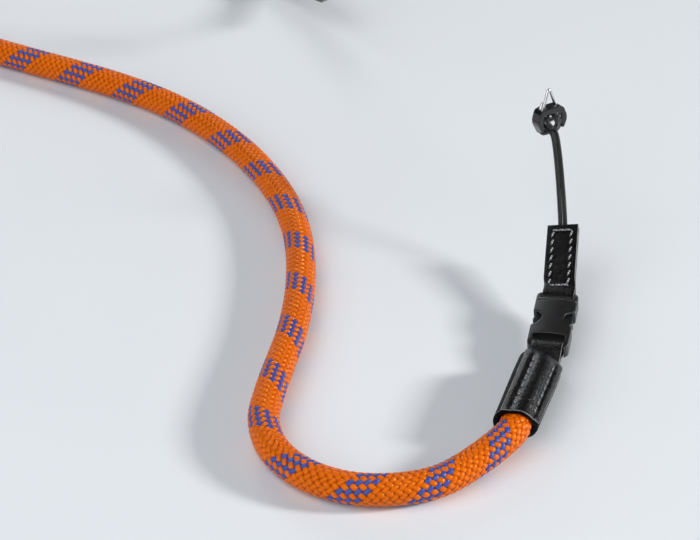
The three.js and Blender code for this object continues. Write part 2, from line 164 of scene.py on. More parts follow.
class Route:
    """A smooth line through given points, with axes that are carried along it without twist."""

    def __init__(self, points: Array, first_side: Array, parts: int = 24) -> None:
        """Lays the line.

        Args:
            points: The points that it runs through.
            first_side: The direction of its side axis at the start, roughly.
            parts: How many steps lie between two points.
        """
        self.line = self._through(points, parts)
        self.reach = reach_along(self.line)
        self.along = unit(np.gradient(self.line, axis=0))
        self.side = self._carried(first_side)
        self.top = np.cross(self.along, self.side)

    @property
    def length(self) -> float:
        """The length of the line."""
        return float(self.reach[-1])

    @staticmethod
    def _through(points: Array, parts: int) -> Array:
        """Runs a centripetal spline through points.

        Args:
            points: The points.
            parts: How many steps lie between two of them.

        Returns:
            The places along the spline.
        """
        padded = np.vstack([2 * points[0] - points[1], points, 2 * points[-1] - points[-2]])
        t = (np.arange(parts) / parts)[:, None]
        places = []
        for p0, p1, p2, p3 in zip(padded, padded[1:], padded[2:], padded[3:]):
            d0, d1, d2 = (math.sqrt(np.linalg.norm(d)) for d in (p1 - p0, p2 - p1, p3 - p2))
            leave = ((p1 - p0) / d0 - (p2 - p0) / (d0 + d1) + (p2 - p1) / d1) * d1
            arrive = ((p2 - p1) / d1 - (p3 - p1) / (d1 + d2) + (p3 - p2) / d2) * d1
            places.append(cubic(t, p1, p2, leave, arrive))
        return np.vstack([*places, points[-1]])

    def _carried(self, first_side: Array) -> Array:
        """Carries a side axis along the line by double reflection.

        Args:
            first_side: The direction at the start.

        Returns:
            A side axis for each place.
        """
        side = first_side - self.along[0] * np.dot(first_side, self.along[0])
        sides = [unit(side)]
        for i in range(len(self.line) - 1):
            step = self.line[i + 1] - self.line[i]
            square = np.dot(step, step)
            moved = sides[-1] - step * (2 * np.dot(step, sides[-1]) / square)
            ahead = self.along[i] - step * (2 * np.dot(step, self.along[i]) / square)
            turn = self.along[i + 1] - ahead
            size = np.dot(turn, turn)
            sides.append(moved - turn * (2 * np.dot(turn, moved) / size) if size > 1e-18 else moved)
        return unit(np.array(sides))

    def read(self, column: Array, reach: Array) -> Array:
        """Reads points or axes at distances along the line.

        Args:
            column: The line itself or one of its axes.
            reach: The distances.

        Returns:
            One vector for each distance.
        """
        return np.stack([np.interp(reach, self.reach, column[:, i]) for i in range(3)], axis=-1)

    def around(self, reach: Array, angle: Array, radius: Array) -> Array:
        """Places round the line.

        Args:
            reach: Distances along the line.
            angle: Angles round it, from its side axis towards its top axis.
            radius: Distances from it.

        Returns:
            The places.
        """
        sideways = np.cos(angle)[..., None] * self.read(self.side, reach)
        upward = np.sin(angle)[..., None] * self.read(self.top, reach)
        return self.read(self.line, reach) + radius[..., None] * (sideways + upward)


def add_object(name: str, data: bpy.types.ID) -> Object:
    """Puts a new object into the scene.

    Args:
        name: Its name.
        data: Its mesh, lamp or camera.

    Returns:
        The object.
    """
    made = bpy.data.objects.new(name, data)
    bpy.context.scene.collection.objects.link(made)
    return made


class MeshPlan:
    """Collects grids of points and makes one mesh of them."""

    def __init__(self) -> None:
        """Starts empty."""
        self.points: list[Array] = []
        self.quads: list[Array] = []
        self.places: list[Array] = []
        self.slots: list[Array] = []
        self.count = 0

    def grids(
        self, points: Array, places: Array | None = None, wrap: bool = False, slot: int | Array = 0
    ) -> None:
        """Adds one grid of quads, or many of the same size.

        Args:
            points: Their points, by row and column in the last axes.
            places: Texture places of the points.
            wrap: Whether the last column joins the first one.
            slot: The material slot of all quads, or of each quad by row and column.
        """
        rows, columns = points.shape[-3:-1]
        many = points.reshape(-1, 3)
        row = np.arange(rows - 1)[:, None] * columns
        column = np.arange(columns if wrap else columns - 1)[None, :]
        after = (column + 1) % columns
        near, far = row + column, row + after
        quad = np.stack([near, far, far + columns, near + columns], axis=-1)
        starts = self.count + np.arange(0, len(many), rows * columns)
        self.quads.append((starts[:, None, None] + quad.reshape(-1, 4)).reshape(-1, 4))
        each = np.broadcast_to(np.asarray(slot), quad.shape[:2]).reshape(-1)
        self.slots.append(np.tile(each, len(starts)))
        self.points.append(many)
        given = np.zeros((len(many), 2)) if places is None else places.reshape(-1, 2)
        self.places.append(given)
        self.count += len(many)

    def tube(self, points: Array, slot: int | Array, cap_slot: int) -> None:
        """Adds rings that follow each other, closed at both ends.

        Args:
            points: The rings' points, by ring and place.
            slot: The material slot of the quads between them.
            cap_slot: The slot of the ends.
        """
        self.grids(points, wrap=True, slot=slot)
        for ring in (points[0], points[-1]):
            middle = np.broadcast_to(ring.mean(axis=0), ring.shape)
            self.grids(np.stack([ring, (ring + middle) / 2, middle]), wrap=True, slot=cap_slot)

    def make(self, name: str, finishes: list[Material], closed: bool = False) -> Object:
        """Makes the object.

        Args:
            name: Its name.
            finishes: Its materials, in the order of the slots.
            closed: Whether grids that touch are welded and turned to face outwards.

        Returns:
            The object, in the scene.
        """
        mesh = bpy.data.meshes.new(name)
        quads = np.concatenate(self.quads)
        mesh.from_pydata(np.concatenate(self.points).tolist(), [], quads.tolist())
        layer = mesh.uv_layers.new(name="strand")
        layer.data.foreach_set("uv", np.concatenate(self.places)[quads.ravel()].ravel())
        mesh.polygons.foreach_set("material_index", np.concatenate(self.slots).astype(np.int32))
        mesh.shade_smooth()
        for finish in finishes:
            mesh.materials.append(finish)
        if closed:
            form = bmesh.new()
            form.from_mesh(mesh)
            bmesh.ops.remove_doubles(form, verts=form.verts, dist=1e-7)
            bmesh.ops.recalc_face_normals(form, faces=form.faces)
            form.to_mesh(mesh)
            form.free()
        mesh.update()
        return add_object(name, mesh)


def operator(operation: str, reflected: bool = False) -> Operator:
    """Makes an operator of shader values from a Math node.

    Args:
        operation: The node's operation.
        reflected: Whether the other operand comes first.

    Returns:
        The method.
    """
    def apply(value: "Value", other: "Value | float" = 0.0) -> "Value":
        """The result of the node."""
        first, second = (other, value) if reflected else (value, other)
        return value.graph.node("ShaderNodeMath", {"operation": operation}, {0: first, 1: second})

    return apply


class Value:
    """A shader socket that takes part in Python arithmetic."""

    __add__, __radd__ = operator("ADD"), operator("ADD", True)
    __sub__, __rsub__ = operator("SUBTRACT"), operator("SUBTRACT", True)
    __mul__, __rmul__ = operator("MULTIPLY"), operator("MULTIPLY", True)
    __truediv__, __rtruediv__ = operator("DIVIDE"), operator("DIVIDE", True)
    __pow__, __rpow__ = operator("POWER"), operator("POWER", True)
    sine, size = operator("SINE"), operator("ABSOLUTE")

    def __init__(self, graph: "Graph", socket: bpy.types.NodeSocket) -> None:
        """Keeps a socket and its graph."""
        self.graph = graph
        self.socket = socket

    def within(self, low: float, high: float) -> "Value":
        """A soft step of the value.

        Args:
            low: Where the step starts.
            high: Where it ends.

        Returns:
            A share from 0 to 1.
        """
        settings = {"interpolation_type": "SMOOTHSTEP"}
        sockets = {"Value": self, "From Min": low, "From Max": high}
        return self.graph.node("ShaderNodeMapRange", settings, sockets, "Result")


class Graph:
    """The node graph of one material."""

    def __init__(self, name: str) -> None:
        """Makes an empty material.

        Args:
            name: Its name.
        """
        self.material = bpy.data.materials.new(name)
        self.material.use_nodes = True
        self.tree = self.material.node_tree
        self.tree.nodes.clear()

    def node(
        self, kind: str, settings: dict[str, object], sockets: Inputs, out: str | int = 0
    ) -> Value:
        """Adds a node.

        Args:
            kind: Its type.
            settings: Attributes that are set first.
            sockets: Values or links of its inputs, by name or number.
            out: The output to hand back.

        Returns:
            That output.
        """
        made = self.tree.nodes.new(kind)
        for key, setting in settings.items():
            setattr(made, key, setting)
        for key, item in sockets.items():
            if isinstance(item, Value):
                self.tree.links.new(item.socket, made.inputs[key])
            else:
                made.inputs[key].default_value = item
        return Value(self, made.outputs[out])

    def place(self) -> Value:
        """Places on the object, in metres."""
        return self.node("ShaderNodeTexCoord", {}, {}, "Object")

    def strand_place(self) -> tuple[Value, Value]:
        """Places on a strand.

        Returns:
            The place along it and the place across it.
        """
        spot = self.node("ShaderNodeUVMap", {"uv_map": "strand"}, {})
        parts = self.node("ShaderNodeSeparateXYZ", {}, {0: spot}, "X")
        return parts, Value(self, parts.socket.node.outputs["Y"])

    def noise(self, place: Value, scale: float, detail: float = 3.0, rough: float = 0.55) -> Value:
        """Soft noise.

        Args:
            place: Where it is read.
            scale: Waves in a metre.
            detail: Octaves.
            rough: How strong the finer ones are.

        Returns:
            A value about a half.
        """
        sockets = {"Vector": place, "Scale": scale, "Detail": detail, "Roughness": rough}
        return self.node("ShaderNodeTexNoise", {}, sockets, 0)

    def mix(self, share: Value, first: object, second: object) -> Value:
        """Mixes two colours."""
        return self.node("ShaderNodeMix", {"data_type": "RGBA"}, {0: share, 6: first, 7: second}, 2)

    def bump(self, height: Value, strength: float, depth: float) -> Value:
        """A normal from a height.

        Args:
            height: The height, from 0 to 1.
            strength: How much of it shows.
            depth: The height of 1, in metres.

        Returns:
            The normal.
        """
        sockets = {"Strength": strength, "Distance": depth, "Height": height}
        return self.node("ShaderNodeBump", {}, sockets, "Normal")

    def finish(self, sockets: Inputs) -> Material:
        """Ends the graph in a shader.

        Args:
            sockets: The shader's inputs.

        Returns:
            The material.
        """
        surface = self.node("ShaderNodeBsdfPrincipled", {}, sockets, "BSDF")
        output = self.tree.nodes.new("ShaderNodeOutputMaterial")
        self.tree.links.new(surface.socket, output.inputs["Surface"])
        return self.material


def paint(red: int, green: int, blue: int) -> Colour:
    """A colour as it looks on a screen, made linear for the shaders.

    Args:
        red: From 0 to 255.
        green: From 0 to 255.
        blue: From 0 to 255.

    Returns:
        The colour.
    """
    def linear(level: int) -> float:
        """One channel."""
        share = level / 255
        return share / 12.92 if share <= 0.04045 else ((share + 0.055) / 1.055) ** 2.4

    return linear(red), linear(green), linear(blue), 1.0


@dataclass(frozen=True)
class Finish:
    """A material of two tones."""

    name: str
    tone: Colour
    second: Colour

    def material(self) -> Material:
        """Makes the material."""
        graph = Graph(self.name)
        return graph.finish(self.inputs(graph))

    def inputs(self, graph: Graph) -> Inputs:
        """Inputs of the finish's shader.

        Args:
            graph: The material's node graph.

        Returns:
            Values and links, by the shader's socket.
        """
        raise NotImplementedError


@dataclass(frozen=True)
class Yarn(Finish):
    """A braiding yarn of parallel filaments."""

    roughness: float
    gleam: float
    gleam_tint: Colour
    filaments: float
    relief: float
    wander_scale: float = 900.0
    patch_scale: float = 160.0

    def inputs(self, graph: Graph) -> Inputs:
        """Inputs of the yarn's shader.

        Args:
            graph: The material's node graph.

        Returns:
            Filaments along each float, with painted shade towards its edges and its ends, where it
            dives under its neighbours.
        """
        along, across = graph.strand_place()
        wander = graph.noise(graph.place(), self.wander_scale)
        wavy = across + (wander - 0.5) * 0.25
        lines = (wavy * (math.pi * self.filaments)).sine() * 0.5 + 0.5
        # Painted shade: the colour darkens towards the float's ends and edges, between it and its
        # neighbours.
        middle = 1 - (along.size() * 1.05) ** 2.5 * 0.6
        crown = (1 - (across * 2 - 1).size() ** 2.0 * 0.45) * middle
        patchy = graph.noise(graph.place(), self.patch_scale, 2.0)
        tone = (crown * (0.72 + lines * 0.2) + patchy * 0.2).within(0.1, 1.05)
        return {
            "Base Color": graph.mix(tone, self.second, self.tone),
            "Roughness": self.roughness + patchy * 0.2 - lines * 0.08,
            "Specular IOR Level": self.gleam,
            "Specular Tint": self.gleam_tint,
            "Normal": graph.bump(lines * 0.7 + wander * 0.5, 0.55, self.relief),
        }


@dataclass(frozen=True)
class PlainCore(Finish):
    """The inside of a rope or cord, seen only between its strands."""

    mottle_scale: float = 1200.0

    def inputs(self, graph: Graph) -> Inputs:
        """Inputs of the core's shader, mottled and matt."""
        share = graph.noise(graph.place(), self.mottle_scale)
        return {"Base Color": graph.mix(share, self.second, self.tone), "Roughness": 0.9}


@dataclass(frozen=True)
class Grain(Finish):
    """Finished leather with a pebbled grain."""

    roughness: float
    gleam: float
    pebble: float
    relief: float
    sway: float = 0.0006
    sway_scale: float = 700.0
    pore_scale: float = 4200.0
    broad_scale: float = 140.0

    def inputs(self, graph: Graph) -> Inputs:
        """Inputs of the leather's shader.

        Args:
            graph: The material's node graph.

        Returns:
            Small pebbles with creases between them, pores, and paler wear on the high spots.
        """
        place = graph.place()
        waves = {"Vector": place, "Scale": self.sway_scale}
        sway = graph.node("ShaderNodeTexNoise", {}, waves, "Color")
        moved = {0: sway, 1: (self.sway, self.sway, self.sway), 2: place}
        warp = graph.node("ShaderNodeVectorMath", {"operation": "MULTIPLY_ADD"}, moved)
        net = {"Vector": warp, "Scale": 1 / self.pebble}
        nearest = {"feature": "DISTANCE_TO_EDGE"}
        cells = graph.node("ShaderNodeTexVoronoi", nearest, net, "Distance")
        pebbles = cells.within(0.0, 0.28)
        pores = graph.noise(place, self.pore_scale, 2.0)
        broad = graph.noise(place, self.broad_scale, 3.0)
        height = pebbles * 0.75 + pores * 0.25
        worn = (pebbles * 0.5 + broad).within(0.55, 1.15)
        return {
            "Base Color": graph.mix(worn, self.tone, self.second),
            "Roughness": self.roughness + (broad - 0.5) * 0.22 - pebbles * 0.08,
            "Specular IOR Level": self.gleam,
            "Normal": graph.bump(height, 0.55, self.relief),
        }


@dataclass(frozen=True)
class CutEdge(Finish):
    """The painted cut edge of a leather strip."""

    fibre_scale: float = 2600.0
    blotch_scale: float = 350.0
    relief: float = 0.00006

    def inputs(self, graph: Graph) -> Inputs:
        """Inputs of the edge's shader.

        Args:
            graph: The material's node graph.

        Returns:
            Fibres that show through the paint.
        """
        place = graph.place()
        fibres = graph.noise(place, self.fibre_scale, 4.0, 0.7)
        blotches = graph.noise(place, self.blotch_scale, 2.0)
        worn = (fibres * 0.6 + blotches * 0.5).within(0.35, 0.75)
        return {
            "Base Color": graph.mix(worn, self.tone, self.second),
            "Roughness": 0.5 + fibres * 0.2,
            "Normal": graph.bump(fibres, 0.4, self.relief),
        }


@dataclass(frozen=True)
class Moulding(Finish):
    """Moulded plastic."""

    roughness: float
    spark: float
    coat: float
    spark_scale: float = 5200.0
    spark_depth: float = 0.00003
    cloud_scale: float = 240.0
    edge_span: Pair = (0.505, 0.58)

    def inputs(self, graph: Graph) -> Inputs:
        """Inputs of the plastic's shader.

        Args:
            graph: The material's node graph.

        Returns:
            A fine spark-eroded texture, with slightly paler edges that are partly rubbing wear and
            partly a painted highlight on the rounded rims.
        """
        place = graph.place()
        fine = graph.noise(place, self.spark_scale, 2.0)
        cloud = graph.noise(place, self.cloud_scale, 3.0)
        # Paler rounded edges: partly rubbing wear, partly a painted highlight where the rims catch
        # the light.
        bend = graph.node("ShaderNodeNewGeometry", {}, {}, "Pointiness")
        edge = bend.within(*self.edge_span)
        wear_and_highlight = (edge * (0.4 + cloud * 0.9)).within(0.1, 0.9)
        return {
            "Base Color": graph.mix(wear_and_highlight, self.tone, self.second),
            "Roughness": self.roughness + (cloud - 0.5) * 0.2 - wear_and_highlight * 0.1,
            "Coat Weight": self.coat,
            "Normal": graph.bump(fine, self.spark, self.spark_depth),
        }


@dataclass(frozen=True)
class BrightWire(Finish):
    """Polished spring wire."""

    roughness: float
    mark_scale: float = 3000.0
    mark_depth: float = 0.00002
    rub_scale: float = 500.0

    def inputs(self, graph: Graph) -> Inputs:
        """Inputs of the wire's shader.

        Args:
            graph: The material's node graph.

        Returns:
            Faint drawing marks and rub.
        """
        place = graph.place()
        marks = graph.noise(place, self.mark_scale, 3.0)
        rub = graph.noise(place, self.rub_scale, 2.0)
        return {
            "Base Color": graph.mix(rub.within(0.35, 0.7), self.tone, self.second),
            "Metallic": 1.0,
            "Roughness": self.roughness + marks * 0.12 + rub * 0.08,
            "Normal": graph.bump(marks, 0.15, self.mark_depth),
        }


@dataclass(frozen=True)
class Thread(Finish):
    """Waxed sewing thread of two plies."""

    ply_turns: float = 5.0
    plies: float = 2.0
    fuzz_scale: float = 3800.0
    relief: float = 0.00008

    def inputs(self, graph: Graph) -> Inputs:
        """Inputs of the thread's shader.

        Args:
            graph: The material's node graph.

        Returns:
            Plies that are wound round the thread.
        """
        along, around = graph.strand_place()
        wound = along * self.ply_turns + around * self.plies
        plies = (wound * math.pi).sine() * 0.5 + 0.5
        fuzz = graph.noise(graph.place(), self.fuzz_scale, 3.0)
        # Painted highlight on the plies' crowns, painted shade between them.
        lit = (plies * 0.6 + fuzz * 0.5).within(0.15, 0.9)
        return {
            "Base Color": graph.mix(lit, self.second, self.tone),
            "Roughness": 0.24 + fuzz * 0.2,
            "Normal": graph.bump(plies + fuzz * 0.3, 0.6, self.relief),
        }


@dataclass(frozen=True)
class PaleSheet(Finish):
    """The plain pale surface under the strap."""

    cloud_scale: float = 9.0

    def inputs(self, graph: Graph) -> Inputs:
        """Inputs of the surface's shader.

        Args:
            graph: The material's node graph.

        Returns:
            A smooth and nearly even sheet.
        """
        cloud = graph.noise(graph.place(), self.cloud_scale, 2.0)
        tone = graph.mix(cloud, self.tone, self.second)
        return {"Base Color": tone, "Roughness": 0.62 + cloud * 0.1}


class Finishes:
    """All materials of the strap, made once."""

    def __init__(self) -> None:
        """Makes them."""
        # Each yarn's second colour is the painted shade at the ends and edges of its floats.
        orange = paint(235, 108, 0), paint(130, 35, 0), 0.22, 0.55, paint(255, 202, 112)
        blue = paint(66, 83, 166), paint(18, 23, 72), 0.22, 0.4, paint(232, 238, 255)
        black = paint(9, 9, 10), paint(1, 1, 2), 0.16, 0.55, paint(255, 255, 255)
        self.orange = Yarn("orange_yarn", *orange, 8.0, 0.00012).material()
        self.blue = Yarn("blue_yarn", *blue, 8.0, 0.00012).material()
        # The rope's core is given a darker orange than its yarn, as painted shade in the gaps
        # between strands.
        self.core = PlainCore("rope_core", paint(96, 30, 2), paint(48, 12, 1)).material()
        self.cord = Yarn("black_cord_yarn", *black, 3.0, 0.00002).material()
        self.cord_core = PlainCore("cord_core", paint(8, 8, 9), paint(4, 4, 5)).material()
        # One black leather in two copies: shaded is a little darker, as painted shade on the tab,
        # the sleeve's flanks and the inside of its mouth.
        upper = paint(4, 4, 5), paint(12, 12, 13)
        shaded = paint(3, 3, 4), paint(9, 9, 10)
        self.leather = Grain("black_leather", *upper, 0.31, 0.46, 0.0005, 0.00008).material()
        self.tab_leather = Grain("tab_leather", *shaded, 0.3, 0.26, 0.0005, 0.00008).material()
        self.flank = Grain("shaded_leather", *shaded, 0.55, 0.07, 0.0005, 0.00009).material()
        tab_edge = paint(62, 61, 62), paint(142, 140, 139)
        self.edge = CutEdge("leather_cut_edge", *tab_edge).material()
        sleeve_edge = paint(58, 58, 59), paint(150, 149, 150)
        self.dark_edge = CutEdge("sleeve_cut_edge", *sleeve_edge).material()
        # Both threads are dark; their paler colour is a painted highlight on the plies.
        self.thread = Thread("black_thread", paint(136, 136, 142), paint(6, 6, 8)).material()
        glint_thread = paint(200, 200, 205), paint(46, 46, 48)
        self.glint_thread = Thread("dark_thread_with_painted_glints", *glint_thread).material()
        # Each plastic's second colour is its paler edge: partly wear, partly painted highlight.
        plastic = paint(27, 27, 28), paint(100, 100, 100)
        self.plastic = Moulding("black_plastic", *plastic, 0.3, 0.3, 0.0).material()
        gloss = paint(4, 4, 5), paint(18, 18, 20)
        self.gloss = Moulding("gloss_plastic", *gloss, 0.14, 0.05, 0.3).material()
        wire = paint(226, 226, 228), paint(178, 179, 184)
        self.wire = BrightWire("bright_wire", *wire, 0.1).material()
        self.floor = PaleSheet("pale_floor", paint(232, 236, 241), paint(226, 231, 237)).material()


def add_piece(piece: Object, nodes: list[str]) -> Object:
    """Sets a piece on the part and hides the solids that it stands in for.

    Args:
        piece: The new object.
        nodes: Solids that it replaces.

    Returns:
        The piece.
    """
    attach(piece, "root")
    if nodes:
        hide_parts(*nodes)
    log.info("%s: %d faces", piece.name, len(piece.data.polygons))
    return piece


@dataclass(frozen=True)
class Lamp:
    """A soft lamp with a square face."""

    name: str
    way: Triple
    distance: float
    size: float
    power: float
    tint: Triple

    def hang(self, aim: Array) -> None:
        """Hangs the lamp so that it shines on a place.

        Args:
            aim: The place.
        """
        place = aim + self.distance * unit(np.array(self.way))
        data = bpy.data.lights.new(self.name, "AREA")
        data.shape = "SQUARE"
        data.size = self.size
        data.energy = self.power
        data.color = self.tint
        lamp = add_object(self.name, data)
        lamp.location = place
        lamp.rotation_mode = "QUATERNION"
        lamp.rotation_quaternion = Vector(aim - place).to_track_quat("-Z", "Y")


@dataclass
class Studio:
    """Camera, floor and soft light."""

    camera_place: Triple = (-0.0666, -0.7277, 0.42)
    camera_tilt: float = math.radians(56)
    lens: float = 128.57
    sensor: float = 36.0
    clip: Pair = (0.01, 20.0)
    floor_height: float = -0.0512
    floor_half: float = 2.5
    aim: Triple = (-0.07, 0.0, -0.05)
    lamps: tuple[Lamp, ...] = (
        Lamp("key_lamp", (0.914, -0.108, 0.391), 1.7, 0.26, 27.0, (1.0, 0.985, 0.96)),
        Lamp("fill_lamp", (-0.50, -0.55, 0.67), 1.3, 1.6, 15.6, (0.97, 0.985, 1.0)),
        Lamp("rim_lamp", (-0.20, 0.87, 0.40), 1.5, 0.6, 4.2, (0.97, 0.985, 1.0)),
    )
    sky_strength: float = 0.10
    sky_tint: Colour = (0.93, 0.965, 1.0, 1.0)

    def build(self, finishes: Finishes) -> None:
        """Sets the camera, the floor and the lamps.

        Args:
            finishes: The strap's materials.
        """
        self._camera()
        self._floor(finishes)
        for lamp in self.lamps:
            lamp.hang(np.array(self.aim))
        world = bpy.data.worlds.new("studio")
        world.use_nodes = True
        sky = world.node_tree.nodes["Background"]
        sky.inputs["Color"].default_value = self.sky_tint
        sky.inputs["Strength"].default_value = self.sky_strength
        bpy.context.scene.world = world
        bpy.context.scene.view_settings.view_transform = "Standard"

    def _camera(self) -> None:
        """Sets the camera at the photograph's angle."""
        data = bpy.data.cameras.new("camera")
        data.lens = self.lens
        data.sensor_width = self.sensor
        data.clip_start, data.clip_end = self.clip
        camera = add_object("camera", data)
        camera.location = self.camera_place
        camera.rotation_euler = (self.camera_tilt, 0.0, 0.0)
        bpy.context.scene.camera = camera

    def _floor(self, finishes: Finishes) -> None:
        """Lays the pale floor.

        Args:
            finishes: The strap's materials.
        """
        plan = MeshPlan()
        side = np.linspace(-self.floor_half, self.floor_half, 9)
        grid = np.stack(np.meshgrid(side, side, indexing="ij"), axis=-1)
        level = np.full(grid.shape[:2] + (1,), self.floor_height)
        plan.grids(np.concatenate([grid[..., ::-1], level], axis=-1))
        plan.make("floor", [finishes.floor])


@dataclass
class Braid:
    """A tubular braid of as many left-hand as right-hand strands, one over and one under."""

    route: Route
    diameter: float
    strands: int
    lay: float
    thickness: float
    wave: float
    start_angle: float = 0.0
    drift: tuple[Pair, ...] = ((0.0, 0.0), (1.0, 0.0))
    fill: float = 0.95
    dive: Pair = (0.34, 0.96)
    reach_over: float = 0.92
    rows: int = 8
    columns: int = 5

    @property
    def middle(self) -> float:
        """The radius that the strands weave about."""
        return self.diameter / 2 - self.wave - self.thickness / 2

    def floats(self, hand: Hand, chosen: range) -> tuple[Array, Array]:
        """The stretches where strands of one hand lie on top.

        Args:
            hand: Which strands.
            chosen: The numbers of the strands that are wanted.

        Returns:
            A grid of points for each stretch, and the texture places of those points.
        """
        way = hand.value
        pitch = self.lay / self.strands
        odd = 0.5 if hand is Hand.RIGHT else 0.0
        row = np.arange(math.ceil(-odd), math.floor(self.route.length / pitch - odd) + 1)
        step, place = np.meshgrid(row, np.arange(self.strands), indexing="ij")
        strand = (place - way * step) % self.strands
        wanted = (strand >= chosen.start) & (strand < chosen.stop)
        step, place, strand = step[wanted], place[wanted], strand[wanted]
        a = np.linspace(-self.reach_over, self.reach_over, self.rows)[:, None]
        tilt = np.linspace(-math.pi / 2, math.pi / 2, self.columns)[None, :]
        b = np.sin(tilt)
        outer = self.diameter / 2
        lean = math.atan2(2 * math.pi * outer, self.lay)
        half_width = self.fill * math.pi * outer / self.strands * math.cos(lean)
        shift = half_width * b
        reach = ((step + odd) * pitch)[:, None, None] + a * pitch / 2
        reach = reach - way * shift * math.sin(lean)
        turns = (place + odd)[:, None, None] / self.strands + way * a / (2 * self.strands)
        drift = np.interp(reach, *np.array(self.drift).T)
        angle = self.start_angle + 2 * math.pi * turns + shift * math.cos(lean) / outer + drift
        dive = 1 - 2 * smoothstep(*self.dive, np.abs(a))
        radius = self.middle + self.wave * dive + self.thickness / 2 * np.cos(tilt) ** 0.8
        radius = np.broadcast_to(radius, reach.shape)
        points = self.route.around(np.clip(reach, 0, self.route.length), angle, radius)
        texture = [np.broadcast_to(place, reach.shape) for place in (a, (b + 1) / 2)]
        return points, np.stack(texture, axis=-1)

    def core(self, plan: MeshPlan, slot: int, steps: int, sides: int) -> None:
        """Adds the core under the strands.

        Args:
            plan: The mesh that it goes into.
            slot: Its material slot.
            steps: Rings along it.
            sides: Places round it.
        """
        reach = np.linspace(0, self.route.length, steps)[:, None]
        angle = (np.arange(sides) * 2 * math.pi / sides)[None, :]
        reach, angle = np.broadcast_arrays(reach, angle)
        radius = np.full(reach.shape, self.middle)
        plan.tube(self.route.around(reach, angle, radius), slot, slot)


@dataclass(frozen=True)
class EndPlace:
    """Where one end of the strap hangs."""

    name: str
    eyelet: Triple
    mirror: int
    turn: float

    def toward(self, way: Triple) -> Array:
        """Carries a direction from the front end's axes to this end."""
        return turned(np.array([self.mirror * way[0], way[1], way[2]]), UP, self.turn)

    def at(self, place: Triple) -> Array:
        """Carries a place, measured from the eyelet, to the part's axes."""
        return self.toward(place) + np.array(self.eyelet)


@dataclass
class EndLines:
    """The lines and axes that the pieces of an end are set by; axes are the columns of a matrix."""

    end: EndPlace
    ring_across: Triple = (0.86, 0.51, 0.0)
    ring_up: Triple = (-0.07, 0.11, 0.99)
    tab_top: Triple = (0.0046, -0.0287, -0.033)
    buckle_top: Triple = (0.0013, -0.0587, -0.0417)
    buckle_end: Triple = (-0.0048, -0.0877, -0.0452)
    mouth: Triple = (-0.0162, -0.1233, -0.0439)
    tab_roll: float = 0.17
    buckle_roll: float = 0.06
    sleeve_roll: float = -0.38
    latch_bar: float = 0.0013
    housing_bar: float = 0.0256

    def __post_init__(self) -> None:
        """Works the axes out."""
        end = self.end
        self.ear_tips = end.at(self.buckle_top)
        buckle_along = unit(end.at(self.buckle_end) - self.ear_tips)
        self.buckle = self._axes(buckle_along, end.mirror * self.buckle_roll)
        self.tab_origin = self.ear_tips + buckle_along * self.latch_bar
        tab_along = unit(end.at(self.tab_top) - self.tab_origin)
        self.tab = self._axes(tab_along, -end.mirror * self.tab_roll)
        self.tab_fold = self._fold(self.buckle[:, 1], self.tab)
        self.sleeve_origin = self.ear_tips + buckle_along * self.housing_bar
        sleeve_along = unit(end.at(self.mouth) - self.sleeve_origin)
        self.sleeve = self._axes(sleeve_along, end.mirror * self.sleeve_roll)
        self.sleeve_fold = self._fold(self.buckle[:, 1], self.sleeve)
        across = unit(end.toward(self.ring_across) * end.mirror)
        outward = unit(np.cross(across, end.toward(self.ring_up)))
        self.ring = np.stack([across, np.cross(outward, across), outward], axis=1)

    @staticmethod
    def _axes(along: Array, roll: float) -> Array:
        """Axes with x along a direction and y level, both leaned about x."""
        across = turned(unit(np.cross(UP, along)), along, roll)
        return np.stack([along, across, np.cross(along, across)], axis=1)

    @staticmethod
    def _fold(bar: Array, axes: Array) -> Array:
        """Axes with y along a bar, as near as can be to a strip's own axes.

        Args:
            bar: The bar's direction.
            axes: The strip's axes.

        Returns:
            The axes.
        """
        across = bar * np.sign(np.dot(bar, axes[:, 1]))
        out = unit(axes[:, 0] - across * np.dot(axes[:, 0], across))
        return np.stack([out, across, np.cross(out, across)], axis=1)


